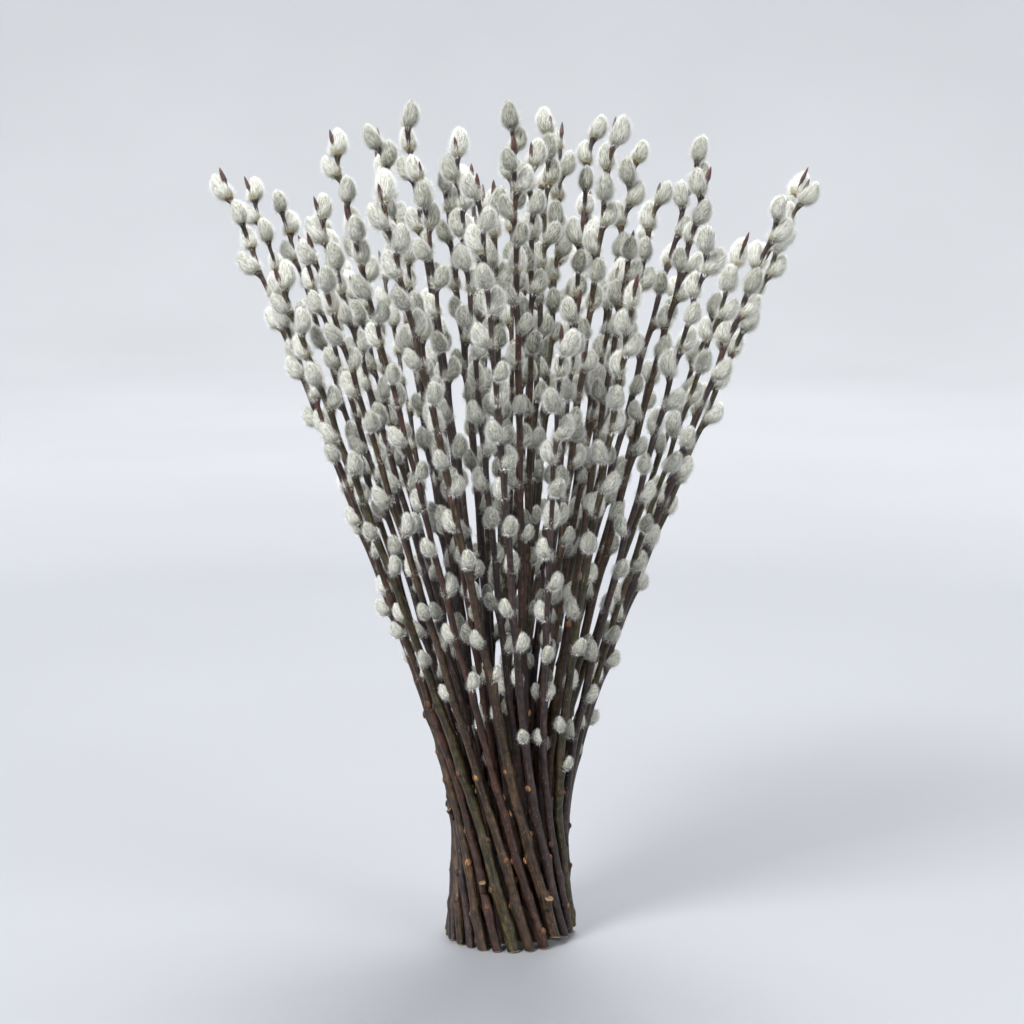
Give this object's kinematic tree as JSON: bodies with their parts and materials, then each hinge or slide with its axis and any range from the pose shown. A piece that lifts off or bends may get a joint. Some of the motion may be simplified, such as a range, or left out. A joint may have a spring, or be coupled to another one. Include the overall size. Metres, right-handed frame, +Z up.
{
  "type": "bunch of pussy willow branches",
  "caption": "Standing bunch of pussy willow branches, laid in a spiral round a narrow waist, with silvery catkins along the upper wood and level cut ends below.",
  "frame": {"origin": "on the floor, under the middle of the bunch's box", "axes": "+Z up along the bunch, from the cut ends to the tips; -Y faces the viewer"},
  "size_m": [0.4476, 0.4494, 0.6349],
  "materials": {
    "willow_branch": "dry bark, dark purple-brown to olive, with a faint sheen",
    "catkin_fur": "soft silver-white fur over a grey-green core",
    "bud_scale": "dark brown, smooth and slightly shiny",
    "cut_wood": "pale raw wood, matte",
    "binding_wire": "dark annealed iron wire, dull"
  },
  "bodies": {
    "root": {"branch_01": "willow_branch", "branch_02": "willow_branch", "branch_03": "willow_branch", "branch_04": "willow_branch", "branch_05": "willow_branch", "branch_06": "willow_branch", "branch_07": "willow_branch", "branch_08": "willow_branch", "branch_09": "willow_branch", "branch_10": "willow_branch", "branch_11": "willow_branch", "branch_12": "willow_branch", "branch_13": "willow_branch", "branch_14": "willow_branch", "branch_15": "willow_branch", "branch_16": "willow_branch", "branch_17": "willow_branch", "branch_18": "willow_branch", "branch_19": "willow_branch", "branch_20": "willow_branch", "branch_21": "willow_branch", "branch_22": "willow_branch", "branch_23": "willow_branch", "branch_24": "willow_branch", "branch_25": "willow_branch", "branch_26": "willow_branch", "branch_27": "willow_branch", "branch_28": "willow_branch", "branch_29": "willow_branch", "branch_30": "willow_branch", "branch_31": "willow_branch", "branch_32": "willow_branch", "branch_33": "willow_branch", "branch_34": "willow_branch", "branch_35": "willow_branch", "branch_36": "willow_branch", "branch_37": "willow_branch", "branch_38": "willow_branch", "branch_39": "willow_branch", "branch_40": "willow_branch", "branch_41": "willow_branch", "branch_42": "willow_branch", "branch_43": "willow_branch", "branch_44": "willow_branch", "branch_45": "willow_branch", "branch_46": "willow_branch", "branch_47": "willow_branch", "branch_48": "willow_branch", "branch_49": "willow_branch", "branch_50": "willow_branch", "branch_51": "willow_branch", "branch_52": "willow_branch", "branch_53": "willow_branch", "branch_54": "willow_branch", "branch_55": "willow_branch", "branch_56": "willow_branch", "branch_57": "willow_branch", "branch_58": "willow_branch", "branch_59": "willow_branch", "binding_wire": "binding_wire"}
  },
  "joints": []
}
